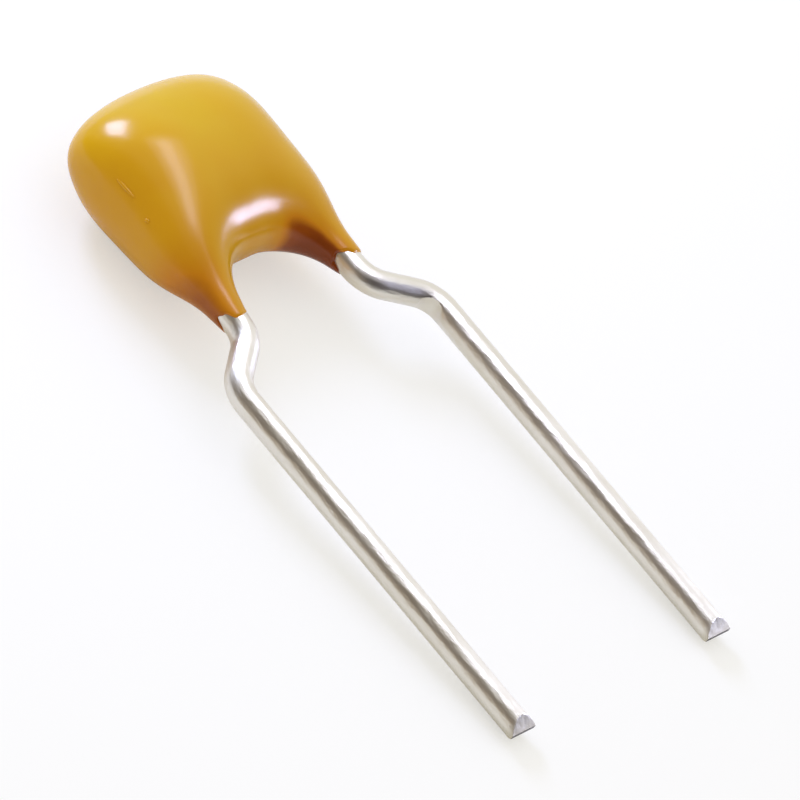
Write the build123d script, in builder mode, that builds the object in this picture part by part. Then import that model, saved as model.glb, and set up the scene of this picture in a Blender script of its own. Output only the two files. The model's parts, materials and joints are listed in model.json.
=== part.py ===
from build123d import *
from math import atan2, copysign, cos, pi, radians, sin, tan
import os

# Multilayer ceramic capacitor with two wire leads, dipped in epoxy. Sizes in millimetres.
# It lies at rest: its belly and its two wire tips touch Z = 0, the wires point to -Y, and
# the two wires stand apart along X. The origin is under the middle of the whole part.

# Wires
wire_diameter = 0.5
lead_pitch = 5.08  # between the straight legs
lead_length = 9.0  # from the foot of the coating to the cut end
kink_drop = 0.48  # from the foot down to the first bend's corner
kink_angle = 53.0  # slant of the kinked stretch, from the wire's own line
kink_radius = 0.7
chisel_length = 0.2  # the pinched end left by the cutter
chisel_width = 0.6
chisel_edge = 0.1
wire_below_chip_top = 0.2

# Ceramic chip, over its metal ends: length along X, depth along the wires, thickness across
chip_length = 2.48
chip_depth = 2.0
chip_thickness = 1.4
chip_rounding = 0.08
base_metal = 0.04
nickel_barrier = 0.006
tin_finish = 0.008
end_band = 0.45
electrodes_per_side = 18
electrode_film = 0.004
cover_layer = 0.2
electrode_side_margin = 0.2
electrode_end_margin = 0.28

# Solder between each wire and its chip end
solder_gap = 0.03
solder_spread = 0.9
solder_length = 1.3
solder_grip = 0.08  # how far past its middle the solder wraps the wire
solder_hollow = 0.03  # how far its sides draw in

# Epoxy coating: an upright bead with two feet, heights counted from the rims of the feet
coat_width = 4.24
coat_thickness = 2.2
coat_height = 4.47
belly_height = 2.7
coat_setback = 0.1  # how far the chip and the belly sit behind the two wires
foot_wall = 0.06
arch_height = 1.06
arch_lip_rise = 0.5
arch_lip_flare = 0.35
belly_boxiness = 2.5  # exponent of the section's rounded outline: 2 is an ellipse
foot_boxiness = 5.0
crown_boxiness = 2.4
shoulder_swell = 0.75  # below 1 the coating grows early on its way up from the feet

# What follows from them
wire_radius = wire_diameter / 2
metal_end = base_metal + nickel_barrier + tin_finish
foot_pitch = chip_length + 2 * solder_gap + wire_diameter
kink_step = (lead_pitch - foot_pitch) / 2
foot_radius = wire_radius + foot_wall
chip_height = belly_height
lead_top = chip_height + chip_depth / 2 - wire_below_chip_top
ceramic_length = chip_length - 2 * metal_end
ceramic_depth = chip_depth - 2 * metal_end
ceramic_thickness = chip_thickness - 2 * metal_end


def swell(height):
    """How far a height between the rims and the belly has grown from foot to belly, 0 to 1."""
    rise = (height / belly_height) ** shoulder_swell
    return rise * rise * (3 - 2 * rise)


def crown(height):
    """How much of the belly's size is left at a height above it: a rounded shoulder."""
    rise = (height - belly_height) / (coat_height - belly_height)
    return (1 - rise**crown_boxiness) ** (1 / crown_boxiness)


def half_thickness(height):
    if height > belly_height:
        return coat_thickness / 2 * crown(height)
    return foot_radius + (coat_thickness / 2 - foot_radius) * swell(height)


def half_width(height):
    if height > belly_height:
        return coat_width / 2 * crown(height)
    foot_edge = foot_pitch / 2 + foot_radius
    return foot_edge + (coat_width / 2 - foot_edge) * swell(height) ** 2


def outline(height, points=24):
    """Points round the coating's section at a height: a rounded, slightly boxy oval."""
    boxiness = belly_boxiness
    if height < belly_height:
        boxiness = foot_boxiness + (belly_boxiness - foot_boxiness) * swell(height)
    ring = []
    for number in range(points):
        turn = 2 * pi * number / points
        across = half_width(height) * copysign(abs(cos(turn)) ** (2 / boxiness), cos(turn))
        through = half_thickness(height) * copysign(abs(sin(turn)) ** (2 / boxiness), sin(turn))
        ring.append((across, through))
    return ring


def setback(height):
    """How far the section at a height sits behind the wires: none at the feet."""
    return coat_setback * (swell(height) if height < belly_height else 1)


# The part lies on its belly and on the wires where the pinched ends begin
reach = lead_length - chisel_length
steps = 200
heights = [coat_height * step / steps for step in range(steps)]
backs = [half_thickness(height) + setback(height) for height in heights]
lie_angle = max(atan2(back - wire_radius, h + reach) for h, back in zip(heights, backs))
lead_plane = Plane(
    origin=(
        0,
        (lead_length - coat_height) / 2 * cos(lie_angle),
        reach * sin(lie_angle) + wire_radius * cos(lie_angle),
    ),
    x_dir=(1, 0, 0),
    z_dir=(0, -sin(lie_angle), cos(lie_angle)),
)


def at_height(height, x=0.0, back=0.0):
    """Plane square to the wires at a height above the rims of the feet."""
    middle = lead_plane.from_local_coords(Vector(x, height, -back))
    return Plane(origin=middle, x_dir=lead_plane.x_dir, z_dir=lead_plane.y_dir)


chip_plane = Plane(
    origin=lead_plane.from_local_coords(Vector(0, chip_height, -coat_setback)),
    x_dir=lead_plane.x_dir,
    z_dir=lead_plane.z_dir,
)


def chip_block(growth):
    """The tumbled ceramic block with every face moved out by growth."""
    with BuildPart(chip_plane) as block:
        Box(
            ceramic_length + 2 * growth,
            ceramic_depth + 2 * growth,
            ceramic_thickness + 2 * growth,
        )
        fillet(block.edges(), chip_rounding + growth)
    return block.part


def beyond(side, distance):
    """Plane across X at a distance from the middle, facing outwards on the given side."""
    return Plane(origin=(side * distance, 0, 0), z_dir=(side, 0, 0))


os.makedirs("parts", exist_ok=True)
sides = {"left": -1, "right": 1}
hollow_for = []  # solids that the coating is moulded round

# Leads: tinned round wire, kinked outwards below the coating, with a pinched end
for name, side in sides.items():
    kink_end = kink_drop + kink_step / tan(radians(kink_angle))
    with BuildPart() as lead:
        with BuildLine(lead_plane) as route:
            FilletPolyline(
                (side * foot_pitch / 2, lead_top),
                (side * foot_pitch / 2, -kink_drop),
                (side * lead_pitch / 2, -kink_end),
                (side * lead_pitch / 2, -reach),
                radius=kink_radius,
            )
        with BuildSketch(at_height(lead_top, side * foot_pitch / 2)):
            Circle(wire_radius)
        sweep()
        with BuildSketch(at_height(-reach, side * lead_pitch / 2)):
            Circle(wire_radius)
        with BuildSketch(at_height(-lead_length, side * lead_pitch / 2)):
            Ellipse(chisel_width / 2, chisel_edge / 2)
        loft()
    lead.part.label = f"{name}_lead"
    export_step(lead.part, f"parts/{name}_lead.step")
    hollow_for.append(lead.part)

# Metal ends: fired base metal, nickel barrier and tin finish, each a cap over the last
layers = {"base_metal": base_metal, "nickel_barrier": nickel_barrier, "tin_finish": tin_finish}
for name, side in sides.items():
    inside = 0.0
    for layer, thickness in layers.items():
        with BuildPart() as cap:
            add(chip_block(inside + thickness))
            add(chip_block(inside), mode=Mode.SUBTRACT)
            split(bisect_by=beyond(side, chip_length / 2 - end_band))
        cap.part.label = f"{name}_{layer}"
        export_step(cap.part, f"parts/{name}_{layer}.step")
        inside += thickness

# Solder: a fillet that fills the space between each wire and its metal end
for name, side in sides.items():
    face = chip_length / 2
    middle = foot_pitch / 2
    edge = solder_spread / 2
    grip = middle + solder_grip
    grip_height = (wire_radius**2 - solder_grip**2) ** 0.5
    with BuildPart() as solder:
        with BuildSketch(at_height(chip_height)) as profile:
            with BuildLine():
                Polyline(
                    (side * grip, -grip_height),
                    (side * middle, 0),
                    (side * grip, grip_height),
                )
                Line((side * face, -edge), (side * face, edge))
                hollow_x = (face + middle) / 2
                hollow_y = (grip_height + edge) / 2 - solder_hollow
                ThreePointArc(
                    (side * face, edge), (side * hollow_x, hollow_y), (side * grip, grip_height)
                )
                ThreePointArc(
                    (side * face, -edge), (side * hollow_x, -hollow_y), (side * grip, -grip_height)
                )
            make_face()
            with Locations((side * middle, 0)):
                Circle(wire_radius, mode=Mode.SUBTRACT)
        extrude(amount=solder_length / 2, both=True)
    solder.part.label = f"{name}_solder"
    export_step(solder.part, f"parts/{name}_solder.step")
    hollow_for.append(solder.part)

# Electrodes: thin metal films, in turn open to the left and to the right end
film_length = ceramic_length - electrode_end_margin
film_depth = ceramic_depth - 2 * electrode_side_margin
stack = ceramic_thickness - 2 * cover_layer
film_count = electrodes_per_side * len(sides)
films = []
for number in range(film_count):
    name, side = list(sides.items())[number % 2]
    film_height = stack * (number / (film_count - 1) - 0.5)
    film_middle = side * (ceramic_length - film_length) / 2
    with BuildPart(chip_plane) as film:
        with Locations((film_middle, 0, film_height)):
            Box(film_length, film_depth, electrode_film)
    label = f"{name}_electrode_{number // 2 + 1:02d}"
    film.part.label = label
    export_step(film.part, f"parts/{label}.step")
    films.append(film.part)

# Ceramic body: one sintered block with the electrodes fired into it
with BuildPart() as ceramic_body:
    add(chip_block(0))
    add(films, mode=Mode.SUBTRACT)
ceramic_body.part.label = "ceramic_body"
export_step(ceramic_body.part, "parts/ceramic_body.step")

# Epoxy coating: a rounded bead that runs down each wire to a thin foot, with an arch between
foot_levels = [belly_height * share for share in (0, 0.15, 0.35, 0.55, 0.75, 1)]
crown_rise = coat_height - belly_height
crown_levels = [belly_height + crown_rise * share for share in (0.3, 0.55, 0.75, 0.9, 0.98)]
sections = []
for level in foot_levels + crown_levels:
    with BuildSketch(at_height(level, back=setback(level))) as section:
        with BuildLine():
            Spline(*outline(level), periodic=True)
        make_face()
    sections.append(section.sketch)
cutter_half = coat_thickness / 2 + coat_setback  # clear of the coating on both sides
with BuildPart() as arch:
    for z, growth in ((-cutter_half, 1), (0, 0), (cutter_half, 1)):
        with BuildSketch(lead_plane.offset(z)):
            Ellipse(
                arch_height + growth * arch_lip_rise,
                foot_pitch / 2 - foot_radius + growth * arch_lip_flare,
                rotation=90,
            )
    loft()
with BuildPart() as epoxy_coating:
    top = at_height(coat_height, back=coat_setback).origin
    loft(sections=sections + [Vertex(*top)])
    add(arch.part, mode=Mode.SUBTRACT)
    add(chip_block(0), mode=Mode.SUBTRACT)
    for side in sides.values():
        with BuildPart(mode=Mode.PRIVATE) as metal:
            add(chip_block(metal_end))
            split(bisect_by=beyond(side, chip_length / 2 - end_band))
        add(metal.part, mode=Mode.SUBTRACT)
    add(hollow_for, mode=Mode.SUBTRACT)
epoxy_coating.part.label = "epoxy_coating"
export_step(epoxy_coating.part, "parts/epoxy_coating.step")
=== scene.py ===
import json
import math

import bmesh
import bpy
import numpy as np
from mathutils import Matrix, Vector


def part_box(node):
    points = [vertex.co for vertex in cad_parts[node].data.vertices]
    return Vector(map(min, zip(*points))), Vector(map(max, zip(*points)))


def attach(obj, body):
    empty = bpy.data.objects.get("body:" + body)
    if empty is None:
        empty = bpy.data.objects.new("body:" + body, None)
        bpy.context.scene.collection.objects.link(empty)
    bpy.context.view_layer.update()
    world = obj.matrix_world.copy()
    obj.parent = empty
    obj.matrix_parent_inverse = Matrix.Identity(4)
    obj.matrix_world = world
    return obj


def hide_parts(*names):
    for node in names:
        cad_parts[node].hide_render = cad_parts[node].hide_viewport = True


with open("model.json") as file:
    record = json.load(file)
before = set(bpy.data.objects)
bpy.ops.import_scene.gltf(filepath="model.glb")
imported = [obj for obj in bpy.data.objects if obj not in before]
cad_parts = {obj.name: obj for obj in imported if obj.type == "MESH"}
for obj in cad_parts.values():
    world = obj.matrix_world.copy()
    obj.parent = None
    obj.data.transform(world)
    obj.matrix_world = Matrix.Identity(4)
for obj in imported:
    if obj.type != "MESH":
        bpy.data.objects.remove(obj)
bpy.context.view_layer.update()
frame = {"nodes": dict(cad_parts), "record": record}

mm = 0.001

# ---------------------------------------------------------------------------------------
# Ceramic body. A brick of sintered barium titanate, cut from a laminated sheet, tumbled
# until its edges are round and fired. Matt, tan to brown, with fine grains.
# ---------------------------------------------------------------------------------------


def new_finish(name):
    """A new material, with its node tree and its main shader."""
    finish = bpy.data.materials.new(name)
    finish.use_nodes = True
    tree = finish.node_tree
    return finish, tree, tree.nodes["Principled BSDF"]


def grain(tree, size, stretch=(1, 1, 1), detail=4.0, source=None):
    """Noise with features of a given size in metres, drawn out along an axis if asked."""
    spread = tree.nodes.new("ShaderNodeMapping")
    spread.vector_type = "POINT"
    spread.inputs["Scale"].default_value = [s / size for s in stretch]
    if source is None:
        source = tree.nodes.new("ShaderNodeTexCoord").outputs["Object"]
    tree.links.new(source, spread.inputs["Vector"])
    noise = tree.nodes.new("ShaderNodeTexNoise")
    noise.inputs["Scale"].default_value = 1.0
    noise.inputs["Detail"].default_value = detail
    tree.links.new(spread.outputs["Vector"], noise.inputs["Vector"])
    return noise.outputs["Fac"]


def tint(tree, fac, stops, into):
    """Colours along a 0 to 1 value, fed into a socket."""
    ramp = tree.nodes.new("ShaderNodeValToRGB")
    ends = ramp.color_ramp.elements
    while len(ends) < len(stops):
        ends.new(0.5)
    for end, (place, colour) in zip(ends, stops):
        end.position = place
        end.color = (*colour, 1)
    tree.links.new(fac, ramp.inputs["Fac"])
    tree.links.new(ramp.outputs["Color"], into)


def spread_value(tree, fac, low, high, into):
    """A 0 to 1 value stretched between two numbers, fed into a socket."""
    ranged = tree.nodes.new("ShaderNodeMapRange")
    ranged.inputs["To Min"].default_value = low
    ranged.inputs["To Max"].default_value = high
    tree.links.new(fac, ranged.inputs["Value"])
    tree.links.new(ranged.outputs["Result"], into)


def relief(tree, fac, depth, shader):
    """Fine surface relief of a given depth in metres."""
    bump = tree.nodes.new("ShaderNodeBump")
    bump.inputs["Distance"].default_value = depth
    tree.links.new(fac, bump.inputs["Height"])
    tree.links.new(bump.outputs["Normal"], shader.inputs["Normal"])


def dress(node, finish):
    """A finish put on a piece that keeps its own solid."""
    piece = frame["nodes"][node]
    piece.data.materials.clear()
    piece.data.materials.append(finish)


def fired_ceramic():
    finish, tree, shader = new_finish("fired_ceramic")
    crystals = grain(tree, 0.05 * mm)
    tint(
        tree, crystals, [(0.3, (0.40, 0.29, 0.17)), (0.7, (0.58, 0.45, 0.29))],
        shader.inputs["Base Color"],
    )
    spread_value(tree, crystals, 0.6, 0.8, shader.inputs["Roughness"])
    relief(tree, grain(tree, 0.02 * mm), 0.004 * mm, shader)
    return finish


dress("ceramic_body", fired_ceramic())

# ---------------------------------------------------------------------------------------
# Electrodes. Films of base metal printed on the green sheets and fired inside the ceramic,
# in turn open to the left and to the right end of the chip.
# ---------------------------------------------------------------------------------------


def printed_film():
    finish, tree, shader = new_finish("printed_film")
    shader.inputs["Metallic"].default_value = 1.0
    mesh_marks = grain(tree, 0.08 * mm, detail=6.0)
    tint(
        tree, mesh_marks, [(0.35, (0.42, 0.40, 0.37)), (0.65, (0.62, 0.60, 0.56))],
        shader.inputs["Base Color"],
    )
    spread_value(tree, mesh_marks, 0.4, 0.6, shader.inputs["Roughness"])
    return finish


film_finish = printed_film()
for node in frame["nodes"]:
    if "_electrode_" in node:
        dress(node, film_finish)

# ---------------------------------------------------------------------------------------
# Metal ends. Copper paste dipped and fired on each end of the chip, plated with nickel and
# then with matt tin, so that solder takes to it.
# ---------------------------------------------------------------------------------------


def plated_layer(name, low, high, roughness, size):
    finish, tree, shader = new_finish(name)
    shader.inputs["Metallic"].default_value = 1.0
    mottle = grain(tree, size)
    tint(tree, mottle, [(0.3, low), (0.7, high)], shader.inputs["Base Color"])
    spread_value(tree, mottle, roughness - 0.1, roughness + 0.1, shader.inputs["Roughness"])
    relief(tree, mottle, 0.003 * mm, shader)
    return finish


layer_finishes = {
    "base_metal": plated_layer(
        "fired_copper", (0.55, 0.27, 0.16), (0.72, 0.40, 0.26), 0.55, 0.04 * mm
    ),
    "nickel_barrier": plated_layer(
        "nickel_plate", (0.55, 0.52, 0.46), (0.66, 0.63, 0.57), 0.35, 0.03 * mm
    ),
    "tin_finish": plated_layer(
        "matt_tin", (0.70, 0.70, 0.69), (0.82, 0.82, 0.81), 0.45, 0.03 * mm
    ),
}
for side in ("left", "right"):
    for layer, finish in layer_finishes.items():
        dress(f"{side}_{layer}", finish)

# ---------------------------------------------------------------------------------------
# Solder joints. Solder that wicked between each wire and its chip end, and froze there with
# hollow sides. Dull, slightly wrinkled.
# ---------------------------------------------------------------------------------------


def frozen_solder():
    finish, tree, shader = new_finish("frozen_solder")
    shader.inputs["Metallic"].default_value = 1.0
    wrinkles = grain(tree, 0.12 * mm, detail=5.0)
    tint(
        tree, wrinkles, [(0.3, (0.56, 0.56, 0.55)), (0.7, (0.72, 0.72, 0.71))],
        shader.inputs["Base Color"],
    )
    spread_value(tree, wrinkles, 0.35, 0.55, shader.inputs["Roughness"])
    relief(tree, wrinkles, 0.01 * mm, shader)
    return finish


solder_finish = frozen_solder()
for side in ("left", "right"):
    dress(f"{side}_solder", solder_finish)

# ---------------------------------------------------------------------------------------
# Leads. Round copper-clad steel wire, hot tinned, soldered to the chip, kinked outwards in a
# forming tool below the body and cut off by a pinching blade, which leaves a chisel end.
# ---------------------------------------------------------------------------------------

pins = {mount["name"]: mount for mount in frame["record"]["mounts"]}
pin = pins["right_lead_pin"]
wire_radius = pin["dims"]["r_mm"] * mm
leg_middle = Vector(pin["pos_m"])
down_wire = Vector(pin["axis"]).normalized()
across = Vector((1, 0, 0))
up_wire = -down_wire
front = across.cross(up_wire)

lead_length = 9.0 * mm  # from the feet of the coating to the cut end
buried_length = 3.5 * mm  # from the feet up beside the chip
leg_offset = abs(leg_middle.x)
foot_offset = 1.52 * mm  # from the part's middle to a wire where it leaves the coating
kink_drop = 0.48 * mm  # from the feet down to the corner of the first bend
kink_angle = math.radians(53)
kink_radius = 0.7 * mm
chisel_length = 0.2 * mm  # the end that the cutter pinched
chisel_flare = 0.2  # share by which the pinch widens the wire
chisel_flare_curve = 1.5
chisel_half_edge = 0.04 * mm
press_depth = {"left": 0.02 * mm, "right": 0.09 * mm}  # of the forming tool's mark
press_place = 0.4  # share of the lower bend's turn, from its lower end
nose_radius = 0.25 * mm  # of the forming tool

# How finely the wires are drawn
bend_step = 0.02 * mm
straight_steps = 12
leg_steps = 60
chisel_steps = 12
wire_spokes = 72
sharp_turn = math.radians(22)

# The frame of the two wires: its middle is level with the rims of the coating's feet
tip_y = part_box("right_lead")[0].y
tip = leg_middle + down_wire * ((tip_y - leg_middle.y) / down_wire.y)
rim_middle = tip + up_wire * lead_length
rim_middle.x = 0.0


def laid_down(points):
    """Points given as (across, up the wire, to the front), put where the part lies."""
    axes = np.array([across, up_wire, front])
    return np.asarray(points) @ axes + np.array(rim_middle)


def wire_line():
    """The right wire's middle line: (across, up, turn from straight down) along its length."""
    tangent = kink_radius * math.tan(kink_angle / 2)
    slant = (leg_offset - foot_offset) / math.sin(kink_angle) - 2 * tangent
    stretches = [  # length and turn of each stretch, from the buried end to the cut
        (buried_length + kink_drop - tangent, 0.0),
        (kink_radius * kink_angle, kink_angle),
        (slant, 0.0),
        (kink_radius * kink_angle, -kink_angle),
    ]
    x, height, heading = foot_offset, buried_length, 0.0
    line = [(x, height, heading)]
    for length, turn in stretches:
        count = round(length / bend_step) if turn else straight_steps
        for _ in range(count):
            heading += turn / count / 2
            x += math.sin(heading) * length / count
            height -= math.cos(heading) * length / count
            heading += turn / count / 2
            line.append((x, height, heading))
    bend_end = height
    chisel_start = -lead_length + chisel_length
    for number in range(1, leg_steps + 1):
        line.append((x, bend_end + (-lead_length - bend_end) * number / leg_steps, 0.0))
    line = [point for point in line if point[1] > chisel_start + bend_step]
    for number in range(chisel_steps + 1):
        line.append((x, chisel_start - chisel_length * number / chisel_steps, 0.0))
    return line, bend_end


def lead_mesh(side_name, side):
    """A tube along the wire's line, flattened between two bevels at its end."""
    line, bend_end = wire_line()
    places, runs, pinches = [], [], []
    run = 0.0
    for number, (x, height, heading) in enumerate(line):
        if number:
            before = line[number - 1]
            run += math.hypot(x - before[0], height - before[1])
        pinch = max(0.0, min(1.0, (-lead_length + chisel_length - height) / chisel_length))
        limit = wire_radius + (chisel_half_edge - wire_radius) * pinch
        flare = 1 + chisel_flare * pinch**chisel_flare_curve
        for spoke in range(wire_spokes):
            turn = 2 * math.pi * spoke / wire_spokes
            aside = wire_radius * math.cos(turn) * flare
            ahead = max(-limit, min(limit, wire_radius * math.sin(turn)))
            places.append(
                (x + aside * math.cos(heading), height + aside * math.sin(heading), ahead)
            )
            runs.append((run, aside, ahead))
            pinches.append(pinch)
    points = np.array(places)
    # The round nose of the forming tool leaves its mark on the inside of the lower bend
    press_turn = kink_angle * press_place
    inside = kink_radius - wire_radius + press_depth[side_name] - nose_radius
    nose = np.array([
        leg_offset - kink_radius + inside * math.cos(press_turn),
        bend_end + inside * math.sin(press_turn),
    ])
    away = points[:, :2] - nose
    reach = np.linalg.norm(away, axis=1)
    pressed = reach < nose_radius
    points[pressed, :2] = nose + away[pressed] * (nose_radius / reach[pressed])[:, None]
    points[:, 0] *= side
    mesh = bpy.data.meshes.new(f"{side_name}_lead_wire")
    faces = []
    last_ring = len(line) - 1
    for ring in range(last_ring):
        for spoke in range(wire_spokes):
            here = ring * wire_spokes + spoke
            beside = ring * wire_spokes + (spoke + 1) % wire_spokes
            faces.append((here, beside, beside + wire_spokes, here + wire_spokes))
    faces.append(tuple(range(wire_spokes))[::-1])
    faces.append(tuple(range(last_ring * wire_spokes, len(line) * wire_spokes)))
    if side > 0:
        faces = [face[::-1] for face in faces]
    mesh.from_pydata([tuple(p) for p in laid_down(points)], [], faces)
    where = mesh.attributes.new("wire_run", "FLOAT_VECTOR", "POINT")
    where.data.foreach_set("vector", np.array(runs, dtype=np.float32).ravel())
    pinched = mesh.attributes.new("pinched", "FLOAT", "POINT")
    pinched.data.foreach_set("value", np.array(pinches, dtype=np.float32))
    mesh.polygons.foreach_set("use_smooth", [True] * len(mesh.polygons))
    mesh.polygons[len(faces) - 1].material_index = 1  # the cut bares the core
    mesh.set_sharp_from_angle(angle=sharp_turn)
    return mesh


def mesh_value(tree, name):
    """A value that the mesh keeps at its points."""
    kept = tree.nodes.new("ShaderNodeAttribute")
    kept.attribute_name = name
    return kept


def mixed(tree, blend, factor, a=None, b=None):
    """Two colours blended; what is None gets its link later."""
    mix = tree.nodes.new("ShaderNodeMix")
    mix.data_type = "RGBA"
    mix.blend_type = blend
    for name, value in (("Factor", factor), ("A", a), ("B", b)):
        if isinstance(value, bpy.types.NodeSocket):
            tree.links.new(value, mix.inputs[name])
        elif value is not None:
            mix.inputs[name].default_value = value
    return mix


def scaled(tree, operation, fac, factor=None):
    """A value times a factor, by MULTIPLY, or with a sum on top, by MULTIPLY_ADD."""
    product = tree.nodes.new("ShaderNodeMath")
    product.operation = operation
    tree.links.new(fac, product.inputs[0])
    if factor is not None:
        product.inputs[1].default_value = factor
    return product


def tinned_wire():
    finish, tree, shader = new_finish("tinned_wire")
    shader.inputs["Metallic"].default_value = 1.0
    run = mesh_value(tree, "wire_run").outputs["Vector"]
    drawn = grain(tree, 0.13 * mm, stretch=(0.3, 1, 1), source=run)
    puddles = grain(tree, 0.5 * mm, stretch=(0.5, 1, 1), detail=3.0, source=run)
    pinched = mesh_value(tree, "pinched").outputs["Fac"]
    dulled = mixed(tree, "MULTIPLY", pinched, b=(0.84, 0.82, 0.74, 1))
    tint(
        tree, puddles, [(0.3, (0.78, 0.74, 0.63)), (0.7, (0.84, 0.805, 0.70))],
        dulled.inputs["A"],
    )
    tree.links.new(dulled.outputs["Result"], shader.inputs["Base Color"])
    smeared = scaled(tree, "MULTIPLY_ADD", pinched, 0.25)
    spread_value(tree, puddles, 0.32, 0.42, smeared.inputs[2])
    tree.links.new(smeared.outputs["Value"], shader.inputs["Roughness"])
    relief(tree, drawn, 0.018 * mm, shader)
    return finish


def cut_core():
    """The steel core that the cut lays bare, torn and dull."""
    finish, tree, shader = new_finish("cut_core")
    shader.inputs["Metallic"].default_value = 1.0
    torn = grain(tree, 0.05 * mm)
    tint(
        tree, torn, [(0.3, (0.14, 0.135, 0.125)), (0.7, (0.30, 0.29, 0.275))],
        shader.inputs["Base Color"],
    )
    spread_value(tree, torn, 0.5, 0.7, shader.inputs["Roughness"])
    return finish


wire_finish, core_finish = tinned_wire(), cut_core()
for name, side in (("left", -1), ("right", 1)):
    lead = bpy.data.objects.new(f"{name}_lead_wire", lead_mesh(name, side))
    bpy.context.collection.objects.link(lead)
    lead.data.materials.append(wire_finish)
    lead.data.materials.append(core_finish)
    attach(lead, "root")
    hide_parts(f"{name}_lead")

# ---------------------------------------------------------------------------------------
# Epoxy coating. The chip and its joints are dipped in liquid epoxy, which draws up into a
# rounded bead, runs down each wire to a thin foot and leaves an arch between. Then cured.
# ---------------------------------------------------------------------------------------

# All in mm, measured across, up the wires and to the front from the middle of the two rims
wire_place = foot_offset / mm
bare_radius = wire_radius / mm
coating_height = 4.47

# The bead: a rounded block, round the chip
bead_half_width = 1.667
bead_half_height = 1.766
bead_half_thickness = 1.093
belly_flatness = 0.955  # the underside is a little flatter than the top
bead_middle = 2.697
bead_setback = 0.129
bead_taper = 0.069  # share that it widens by from its middle to its top
bead_squareness = 0.822  # share that it widens by to its top and its bottom, as its corners fill
thickness_taper = 0.006  # share that it thickens by from its middle to its top
section_boxiness = 2.3  # exponent of its outline across the wires: 2 is an ellipse
height_boxiness = 2.036  # the same along the wires
rise_limit = 1.3  # the widening stops this share of a half height from the middle

# The feet: cones that taper from a root in the bead to a thin skin on the wire
foot_skin = 0.034
foot_thinnest_skin = 0.014
foot_root_radius = 0.779
foot_root_shift = 0.379
foot_root_height = 2.781
foot_overrun = 0.3  # share of its length that a foot goes on below its rim
root_softness = 0.2  # share of its length over which the root ends, so that it leaves no crease
middle_softness = 0.4  # how near the middle the two feet count as one, for the same reason
web_reach = 0.921  # how widely the bead and a foot melt into each other
rim_growth = 0.1  # how much thicker the skin is where its rim stays back up the wire
lip_turns = ((0.008, 0.010), (0.04, 0.006))  # how far in and down the rim's edge turns, twice


def melt(one, other, reach):
    """The smaller of two distances, with the seam between them filled by a fillet."""
    share = np.clip(0.5 + 0.5 * (other - one) / reach, 0, 1)
    return other * (1 - share) + one * share - reach * share * (1 - share)


def bead(x, height, z):
    """Signed distance to the rounded bead, boxier across its width than through it."""
    rise = np.clip((height - bead_middle) / bead_half_height, -rise_limit, rise_limit)
    width = bead_half_width * (1 + bead_taper * rise + bead_squareness * rise * rise)
    thick = bead_half_thickness * (1 + thickness_taper * rise)
    z = z + bead_setback
    thick = np.where(z < 0, thick * belly_flatness, thick)
    section = np.abs(x / width) ** section_boxiness + np.abs(z / thick) ** section_boxiness
    section = section ** (height_boxiness / section_boxiness)
    along = np.abs((height - bead_middle) / bead_half_height) ** height_boxiness
    size = (section + along) ** (1 / height_boxiness)
    away = np.sqrt(x * x + (height - bead_middle) ** 2 + z * z) + 1e-6
    return (size - 1) * away / size


def foot(x, height, z):
    """Signed distance to the run of epoxy down a wire, seen from the right one."""
    aside = x - wire_place
    length_squared = foot_root_shift**2 + foot_root_height**2 + bead_setback**2
    share = np.clip(
        (foot_root_height * height - foot_root_shift * aside - bead_setback * z) / length_squared,
        -foot_overrun, 1 + root_softness,
    )
    share = np.where(
        share < 1 - root_softness,
        share, 1.0 - (1 + root_softness - share) ** 2 / (4 * root_softness),
    )
    rim = bare_radius + foot_skin
    radius = rim + (foot_root_radius - rim) * share
    radius = np.maximum(radius, bare_radius + foot_thinnest_skin)
    return np.sqrt(
        (aside + foot_root_shift * share) ** 2
        + (height - foot_root_height * share) ** 2
        + (z + bead_setback * share) ** 2
    ) - radius


def coating_distance(points):
    """Signed distance to the coating: the bead with a foot melted into it at each side."""
    x, height, z = points.T
    aside = x * np.tanh(x / middle_softness)  # the same on both sides
    return melt(bead(x, height, z), foot(aside, height, z), web_reach)


def slope_of(points):
    """The distance at each point, and which way it grows."""
    nudge = 1e-4
    here = coating_distance(points)
    steps = [coating_distance(points + nudge * axis) - here for axis in np.eye(3)]
    return here, np.stack(steps, 1) / nudge


def settle(points, rounds=8):
    """Points moved on to the coating's surface, square to it."""
    for _ in range(rounds):
        here, slope = slope_of(points)
        steep = (slope * slope).sum(1) + 1e-9
        points = points - (here / steep)[:, None] * slope
    return points


# Darker, browner tones on the coating, heights in mm over the rims: low down on the feet, where the
# skin is thin, with painted shade on skin that faces left, most on the left foot's outer side, and
# dark brown painted shade on the right foot's shaded side
thin_below, thin_fade = 1.8, 1.4
thin_and_shade_strength = 0.36
thin_shade_ahead, shade_to_left = 0.2, 1.4  # share of a skin that faces ahead, and more to the left
thin_shade_least, thin_shade_most = 0.15, 1.6
outer_from, outer_fade, outer_shade_share = 0.6, 0.3, 0.28  # more on the left foot's outer side
shade_facing = (-0.71, -0.62, -0.34)
shade_turn, shade_turn_fade = 0.27, 0.25
shade_from, shade_from_fade = 0.55, 0.2  # across
shade_strength = 0.6
# Painted light and shade in the tone: deeper where the skin faces left, paler where it faces right
left_shade_tone, right_light_tone = 0.6, 0.5  # how much deeper the tone is to the left, and paler to the right


def eased(share):
    """A share kept within 0 to 1, with a soft start and end."""
    share = np.clip(share, 0, 1)
    return share * share * (3 - 2 * share)


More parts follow.
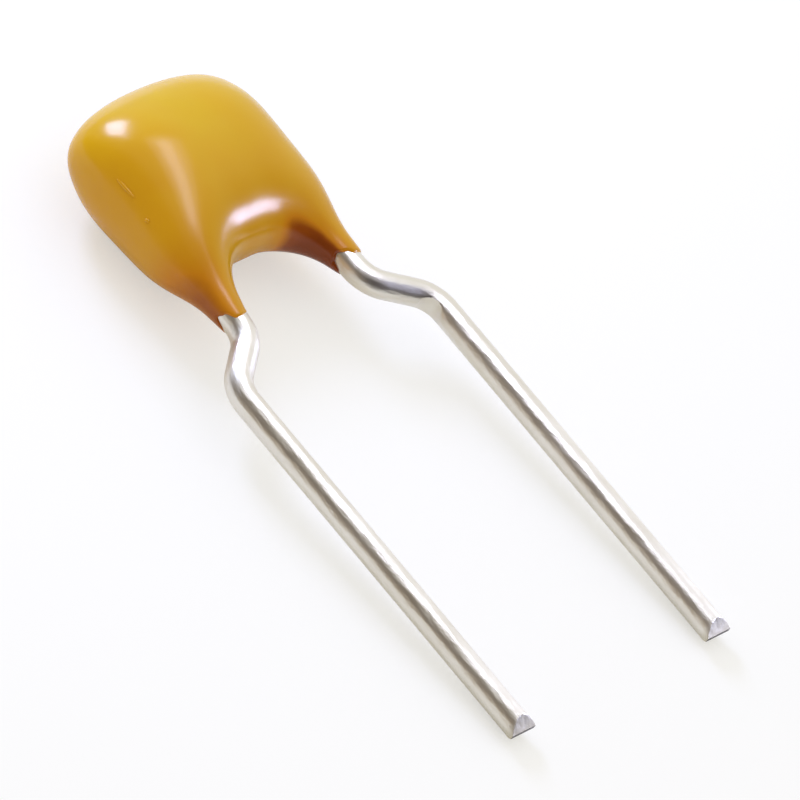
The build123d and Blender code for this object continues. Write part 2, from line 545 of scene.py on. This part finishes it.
def shaded_skin_tones(points):
    """Browning low down where the skin is thin, with painted shade by which way it faces, and how
    high and to the right it faces, for a tone with painted light.
    """
    slope = slope_of(points)[1]
    slope /= np.linalg.norm(slope, axis=1)[:, None]
    turned_left = -slope[:, 0]
    low = eased((thin_below - points[:, 1]) / thin_fade)
    # Painted shade: skin turned to the left is darker, more on the left foot's outer side
    outer_shade = np.clip((turned_left - outer_from) / outer_fade, 0, 1) * (points[:, 0] < 0)
    left_shade = np.clip(thin_shade_ahead + shade_to_left * turned_left, thin_shade_least, thin_shade_most)
    left_shade = left_shade + outer_shade_share * outer_shade
    # Painted shade: dark brown on the right foot's skin that faces the shaded way
    shady = np.clip((slope @ np.array(shade_facing) - shade_turn) / shade_turn_fade, 0, 1)
    foot_shade = shady * np.clip((points[:, 0] - shade_from) / shade_from_fade, 0, 1) * low
    # Painted light: the tone pales higher up and on skin that faces right, and deepens on skin that
    # faces left
    facing_shade = np.where(turned_left > 0, left_shade_tone, right_light_tone) * turned_left
    rise = points[:, 1] / coating_height - facing_shade
    return thin_and_shade_strength * low * left_shade + shade_strength * foot_shade, rise


# The cage that the coating's mesh grows from: its blocks' corners, and how thick it is
cage_xs = [-2.0, -1.55, -1.1, 0.0, 1.1, 1.55, 2.0]
cage_heights = [0.0, 0.55, 1.1, 1.9, 2.8, 3.7, 4.4]
cage_zs = [-0.8, 0.0, 0.8]
cage_fullness = [0.4, 0.6, 1.0, 1.0, 1.0, 1.0, 1.0]  # share of the thickness at each height
arch_columns, arch_rows = (2, 3), (0, 1)  # the blocks left out between the feet
cage_splits = 4
even_rounds = 12


def coating_cage():
    """Blocks with the bead's rough form: a body with a foot at each side and an arch."""
    cells = {
        (i, j, k)
        for i in range(len(cage_xs) - 1)
        for j in range(len(cage_heights) - 1)
        for k in range(len(cage_zs) - 1)
        if not (i in arch_columns and j in arch_rows)
    }
    corners, cage = {}, bmesh.new()

    def corner(i, j, k):
        if (i, j, k) not in corners:
            place = (cage_xs[i], cage_heights[j], cage_zs[k] * cage_fullness[j])
            corners[i, j, k] = cage.verts.new(place)
        return corners[i, j, k]

    for i, j, k in sorted(cells):
        walls = {
            (-1, 0, 0): ((0, 0, 0), (0, 0, 1), (0, 1, 1), (0, 1, 0)),
            (1, 0, 0): ((1, 0, 0), (1, 1, 0), (1, 1, 1), (1, 0, 1)),
            (0, -1, 0): ((0, 0, 0), (1, 0, 0), (1, 0, 1), (0, 0, 1)),
            (0, 1, 0): ((0, 1, 0), (0, 1, 1), (1, 1, 1), (1, 1, 0)),
            (0, 0, -1): ((0, 0, 0), (0, 1, 0), (1, 1, 0), (1, 0, 0)),
            (0, 0, 1): ((0, 0, 1), (1, 0, 1), (1, 1, 1), (0, 1, 1)),
        }
        for (a, b, c), ring in walls.items():
            open_rim = j == 0 and b == -1
            if (i + a, j + b, k + c) in cells or open_rim:
                continue
            cage.faces.new([corner(i + p, j + q, k + r) for p, q, r in ring])
    return cage


def relax(mesh, rounds):
    """Evens out the spacing of the vertices, and keeps them on the surface."""
    edges = np.array([[v.index for v in e.verts] for e in mesh.edges])
    rim = np.array([v.is_boundary for v in mesh.verts])
    points = np.array([v.co for v in mesh.verts])
    count = np.bincount(edges.ravel(), minlength=len(points))[:, None]
    for _ in range(rounds):
        total = np.zeros_like(points)
        np.add.at(total, edges[:, 0], points[edges[:, 1]])
        np.add.at(total, edges[:, 1], points[edges[:, 0]])
        moved = np.where(rim[:, None], points, 0.5 * points + 0.5 * total / count)
        points = np.where(rim[:, None], points, settle(moved, 2))
    for vertex, point in zip(mesh.verts, points):
        vertex.co = point


# Where each foot's skin ends, every 30 degrees round the wire from its right side by the front
rim_heights = {
    -1: (-0.06, -0.08, -0.14, -0.17, -0.16, 0.02, 0.08, -0.12, -0.15, -0.04, 0.02, -0.02),
    1: (0.00, -0.02, -0.02, -0.01, 0.10, 0.17, 0.12, -0.05, -0.07, 0.00, 0.05, 0.03),
}


def rim_height(turn, side):
    """Height at which the skin ends, at an angle round the wire."""
    heights = rim_heights[side]
    place = (turn / (2 * math.pi) % 1.0) * len(heights)
    before = int(place) % len(heights)
    share = eased(place - int(place))
    return heights[before] * (1 - share) + heights[(before + 1) % len(heights)] * share


def seat_rims(mesh):
    """Each foot's open end drawn on to a thin ring round its wire."""
    rim = [v for v in mesh.verts if v.is_boundary]
    for vertex in rim:
        side = 1 if vertex.co.x > 0 else -1
        turn = math.atan2(vertex.co.z, vertex.co.x - side * wire_place)
        height = rim_height(turn, side)
        radius = bare_radius + foot_thinnest_skin + rim_growth * max(0.0, height)
        vertex.co = (
            side * wire_place + radius * math.cos(turn), height, radius * math.sin(turn),
        )


def lip(mesh):
    """The thin edge of the skin turned in until it meets the wire."""
    for inset, drop in lip_turns:
        edges = [e for e in mesh.edges if e.is_boundary]
        new = bmesh.ops.extrude_edge_only(mesh, edges=edges)["geom"]
        for vertex in (v for v in new if isinstance(v, bmesh.types.BMVert)):
            middle = math.copysign(wire_place, vertex.co.x)
            out = Vector((vertex.co.x - middle, 0, vertex.co.z))
            out *= (out.length - inset) / out.length
            vertex.co = (middle + out.x, vertex.co.y - drop, out.z)


# The wrinkle on the left side: where each of its threads starts and ends
threads = (
    ((-1.93, 2.98, 0.41), (-1.90, 2.50, 0.42)),
    ((-1.94, 2.12, 0.34), (-1.93, 2.01, 0.34)),
)
thread_half_width, thread_height = 0.035, 0.028
thread_rings, thread_spokes = 13, 8
thread_blunting = 0.02  # keeps the ends from closing to a point


def wrinkle(mesh, start, end):
    """A fine raised thread where the skin wrinkled as it set, sunk in the coating."""
    start, end = np.array(start), np.array(end)
    share = np.linspace(0, 1, thread_rings)[:, None]
    spine = settle(start + share * (end - start))
    out = slope_of(spine)[1]
    out /= np.linalg.norm(out, axis=1)[:, None]
    aside = np.cross(out, (end - start) / np.linalg.norm(end - start))
    swell = np.sqrt(1 + thread_blunting - (2 * share - 1) ** 2)
    turns = np.arange(thread_spokes) * 2 * math.pi / thread_spokes
    rings = [
        [
            mesh.verts.new(
                p + s * (thread_half_width * math.cos(t) * a + thread_height * math.sin(t) * o)
            )
            for t in turns
        ]
        for p, s, a, o in zip(spine, swell, aside, out)
    ]
    for one, other in zip(rings, rings[1:]):
        for k in range(thread_spokes):
            mesh.faces.new((one[k], one[k - 1], other[k - 1], other[k]))
    mesh.faces.new(rings[0])
    mesh.faces.new(rings[-1])


def list_in_order(mesh):
    """Edges and faces listed by their points, as an extrusion lists them otherwise each run."""
    mesh.verts.index_update()
    for listed in (mesh.edges, mesh.faces):
        ranked = sorted(listed, key=lambda part: sorted(v.index for v in part.verts))
        place = {part: number for number, part in enumerate(ranked)}
        listed.sort(key=place.get)


def coating_mesh():
    """The cage split finer and finer, each time drawn on to the coating's surface."""
    mesh = coating_cage()
    for _ in range(cage_splits):
        bmesh.ops.subdivide_edges(mesh, edges=mesh.edges[:], cuts=1, use_grid_fill=True)
        mesh.verts.index_update()
        points = settle(np.array([v.co for v in mesh.verts]))
        for vertex, point in zip(mesh.verts, points):
            vertex.co = point
        seat_rims(mesh)
        relax(mesh, even_rounds)
    lip(mesh)
    for start, end in threads:
        wrinkle(mesh, start, end)
    local = np.array([v.co for v in mesh.verts])
    thinness_and_shade, rise = shaded_skin_tones(local)
    for vertex, point in zip(mesh.verts, laid_down(local * mm)):
        vertex.co = point
    bmesh.ops.recalc_face_normals(mesh, faces=mesh.faces[:])
    list_in_order(mesh)
    solid = bpy.data.meshes.new("ochre_coating")
    mesh.to_mesh(solid)
    mesh.free()
    # Kept on the mesh for the finish: the thin skin's browning with painted shade, and the height
    # with painted light
    for name, values in (("thinness_and_shade", thinness_and_shade), ("rise", rise)):
        mark = solid.attributes.new(name, "FLOAT", "POINT")
        mark.data.foreach_set("value", values.astype(np.float32))
    solid.polygons.foreach_set("use_smooth", [True] * len(solid.polygons))
    return solid


def ochre_epoxy():
    finish, tree, shader = new_finish("ochre_epoxy")
    clouds = grain(tree, 1.6 * mm, detail=3.0)
    browned_and_shaded = mixed(tree, "MULTIPLY", 1.0)
    # Painted light: paler and more yellow higher up and on skin that faces right, deeper orange on
    # skin that faces left, with a random mottle
    light_and_mottle = scaled(tree, "MULTIPLY_ADD", mesh_value(tree, "rise").outputs["Fac"], 0.6)
    spread_value(tree, clouds, 0.0, 0.5, light_and_mottle.inputs[2])
    tint(
        tree, light_and_mottle.outputs["Value"],
        [(0.3, (0.63, 0.30, 0.001)), (0.58, (0.66, 0.36, 0.002)), (0.85, (0.66, 0.41, 0.002)),
         (1.0, (0.73, 0.47, 0.002))],
        browned_and_shaded.inputs["A"],
    )
    # Browner where the skin is thin, and dark brown painted shade where it faces left and on the
    # right foot's shaded side, patchy with noise
    patchy = scaled(tree, "MULTIPLY", mesh_value(tree, "thinness_and_shade").outputs["Fac"])
    spread_value(tree, grain(tree, 0.7 * mm, detail=3.0), 0.65, 1.35, patchy.inputs[1])
    tint(
        tree, patchy.outputs["Value"],
        [(0.0, (1, 1, 1)), (0.35, (0.90, 0.67, 0.3)), (0.75, (0.44, 0.19, 0.02)),
         (1.0, (0.33, 0.125, 0.02))],
        browned_and_shaded.inputs["B"],
    )
    tree.links.new(browned_and_shaded.outputs["Result"], shader.inputs["Base Color"])
    shader.inputs["IOR"].default_value = 1.5
    shader.inputs["Specular IOR Level"].default_value = 0.34
    spread_value(tree, clouds, 0.16, 0.24, shader.inputs["Roughness"])
    relief(tree, grain(tree, 0.35 * mm, detail=2.0), 0.002 * mm, shader)
    return finish


coating = bpy.data.objects.new("ochre_coating", coating_mesh())
bpy.context.collection.objects.link(coating)
coating.data.materials.append(ochre_epoxy())
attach(coating, "root")
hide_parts("epoxy_coating")

# ---------------------------------------------------------------------------------------
# The set: a pale matt sheet on the table that the part lies on, a pale room with dim walls in
# front, lamps placed in the wires' frame, and the camera.
# ---------------------------------------------------------------------------------------


def for_rays(tree, values, into):
    """A value for each kind of ray, fed into a socket; the rest get the value under None."""
    path = tree.nodes.new("ShaderNodeLightPath")
    result = values.pop(None)
    for ray, value in values.items():
        choice = tree.nodes.new("ShaderNodeMix")
        tree.links.new(path.outputs[f"Is {ray} Ray"], choice.inputs["Factor"])
        if isinstance(result, bpy.types.NodeSocket):
            tree.links.new(result, choice.inputs["A"])
        else:
            choice.inputs["A"].default_value = result
        choice.inputs["B"].default_value = value
        result = choice.outputs["Result"]
    tree.links.new(result, into)


def table_top():
    """A wide pale sheet, that metal shows with the part's own shadow on it."""
    half_width = 0.6
    mesh = bpy.data.meshes.new("table_top")
    corners = [(x * half_width, y * half_width, 0) for x, y in ((-1, -1), (1, -1), (1, 1), (-1, 1))]
    mesh.from_pydata(corners, [], [(0, 1, 2, 3)])
    sheet = bpy.data.objects.new("table_top", mesh)
    bpy.context.collection.objects.link(sheet)
    finish, tree, shader = new_finish("pale_sheet")
    paleness = {None: 0.5, "Diffuse": 0.85, "Glossy": 0.88}
    for_rays(tree, paleness, shader.inputs["Base Color"])
    shader.inputs["Roughness"].default_value = 1.0
    shader.inputs["Specular IOR Level"].default_value = 0.0
    shader.inputs["Emission Color"].default_value = (1, 0.995, 0.965, 1)
    glow = {None: 0.0, "Camera": 0.50, "Transmission": 0.50, "Glossy": 0.06}
    for_rays(tree, glow, shader.inputs["Emission Strength"])
    mesh.materials.append(finish)


def surroundings():
    """A room that is white to the camera, with a light ceiling and dim walls in front."""
    world = bpy.data.worlds.new("pale_room")
    bpy.context.scene.world = world
    world.use_nodes = True
    tree = world.node_tree
    backdrop = tree.nodes["Background"]
    way = tree.nodes.new("ShaderNodeTexCoord").outputs["Generated"]

    def along(direction, low, high):
        """How far a ray looks along a direction, as a 0 to 1 value."""
        dot = tree.nodes.new("ShaderNodeVectorMath")
        dot.operation = "DOT_PRODUCT"
        dot.inputs[1].default_value = direction
        tree.links.new(way, dot.inputs[0])
        place = tree.nodes.new("ShaderNodeMapRange")
        place.inputs["From Min"].default_value = low
        place.inputs["From Max"].default_value = high
        tree.links.new(dot.outputs["Value"], place.inputs["Value"])
        return place.outputs["Result"]

    room = mixed(tree, "MULTIPLY", 1.0)
    tint(
        tree, along((0.94, 0.0, 0.342), -1.0, 1.0),
        [
            (0.02, (0.84, 0.74, 0.63)), (0.08, (0.52, 0.44, 0.37)), (0.13, (0.26, 0.21, 0.17)),
            (0.20, (0.17, 0.14, 0.11)), (0.38, (0.16, 0.13, 0.10)), (0.43, (0.26, 0.23, 0.19)),
            (0.51, (0.68, 0.66, 0.62)), (0.62, (0.68, 0.67, 0.64)), (1.0, (0.88, 0.87, 0.84)),
        ],
        room.inputs["A"],
    )
    tint(
        tree, along((0, -1, 0), 0.0, 1.0), [(0.12, (1, 1, 1)), (0.45, (0.12, 0.10, 0.08))],
        room.inputs["B"],
    )
    path = tree.nodes.new("ShaderNodeLightPath")
    cast = mixed(tree, "MIX", path.outputs["Is Diffuse Ray"], a=room.outputs["Result"])
    tint(
        tree, along((0.6, 0.0, 0.8), -1.0, 1.0),
        [(0.0, (0.62, 0.61, 0.59)), (1.0, (0.90, 0.88, 0.85))], cast.inputs["B"],
    )
    shown = mixed(
        tree, "MIX", path.outputs["Is Camera Ray"], a=cast.outputs["Result"], b=(1, 1, 1, 1)
    )
    tree.links.new(shown.outputs["Result"], backdrop.inputs["Color"])


def in_wires_frame(way):
    """A direction given as (across, up the wires, to the front)."""
    return across * way[0] + up_wire * way[1] + front * way[2]


def lamp(name, direction, distance, long_way, size, power, colour, shines=True):
    """A soft lamp turned to the body; one that doesn't shine shows only in gloss."""
    light = bpy.data.lights.new(name, "AREA")
    light.shape = "RECTANGLE"
    light.size, light.size_y = size
    light.energy = power
    light.color = colour
    body_middle = Vector(laid_down([[0, 2.5 * mm, 0]])[0])
    toward, along = in_wires_frame(direction), in_wires_frame(long_way)
    toward.normalize()
    beside = toward.cross(along).normalized()
    turned = Matrix((beside.cross(toward), beside, toward)).transposed().to_4x4()
    holder = bpy.data.objects.new(name, light)
    holder.visible_diffuse = shines
    holder.matrix_world = Matrix.Translation(body_middle + toward * distance) @ turned
    bpy.context.collection.objects.link(holder)


def camera():
    """Looks down on the part from its left, with the picture turned clockwise."""
    right = in_wires_frame((0.654, -0.6216, 0.4314))
    up = in_wires_frame((0.311, 0.7405, 0.5962))
    back = right.cross(up).normalized()
    up = back.cross(right).normalized()
    right = up.cross(back)
    picture_width = 13.56 * mm
    distance = 0.30
    aim_right, aim_down = 1.873, 1.898  # in mm, from the middle of the two rims
    target = rim_middle + right * aim_right * mm - up * aim_down * mm
    lens = bpy.data.cameras.new("camera")
    lens.sensor_width = 36
    lens.lens = lens.sensor_width * distance / picture_width
    lens.clip_start, lens.clip_end = 0.01, 10
    viewer = bpy.data.objects.new("camera", lens)
    viewer.matrix_world = Matrix.Translation(target + back * distance) @ Matrix(
        (right, up, back)
    ).transposed().to_4x4()
    bpy.context.collection.objects.link(viewer)
    bpy.context.scene.camera = viewer


table_top()
surroundings()
# Distances and sizes in metres, power in watts
lamp(
    "low_right_lamp", direction=(0.66, -0.59, 0.46), distance=0.028,
    long_way=(-0.32, -0.23, 0.20), size=(0.0150, 0.0060),
    power=0.0082, colour=(0.60, 0.64, 1.0), shines=False,
)
lamp(
    "far_end_lamp", direction=(0.16, 0.88, 0.45), distance=0.045,
    long_way=(-0.51, -0.10, 0.37), size=(0.0195, 0.0105),
    power=0.0150, colour=(0.54, 0.62, 1.0),
)
overhead = {"direction": (0.20, 0.15, 0.97), "long_way": (0.37, 0.64, -0.17)}
lamp(
    "overhead_lamp", **overhead, distance=0.018, size=(0.0138, 0.0042),
    power=0.00095, colour=(0.70, 0.72, 1.0), shines=False,
)
lamp(
    "overhead_shade", **overhead, distance=0.0182, size=(0.0180, 0.0100),
    power=0.00110, colour=(0.70, 0.72, 1.0), shines=False,
)
camera()
bpy.context.scene.view_settings.view_transform = "Standard"
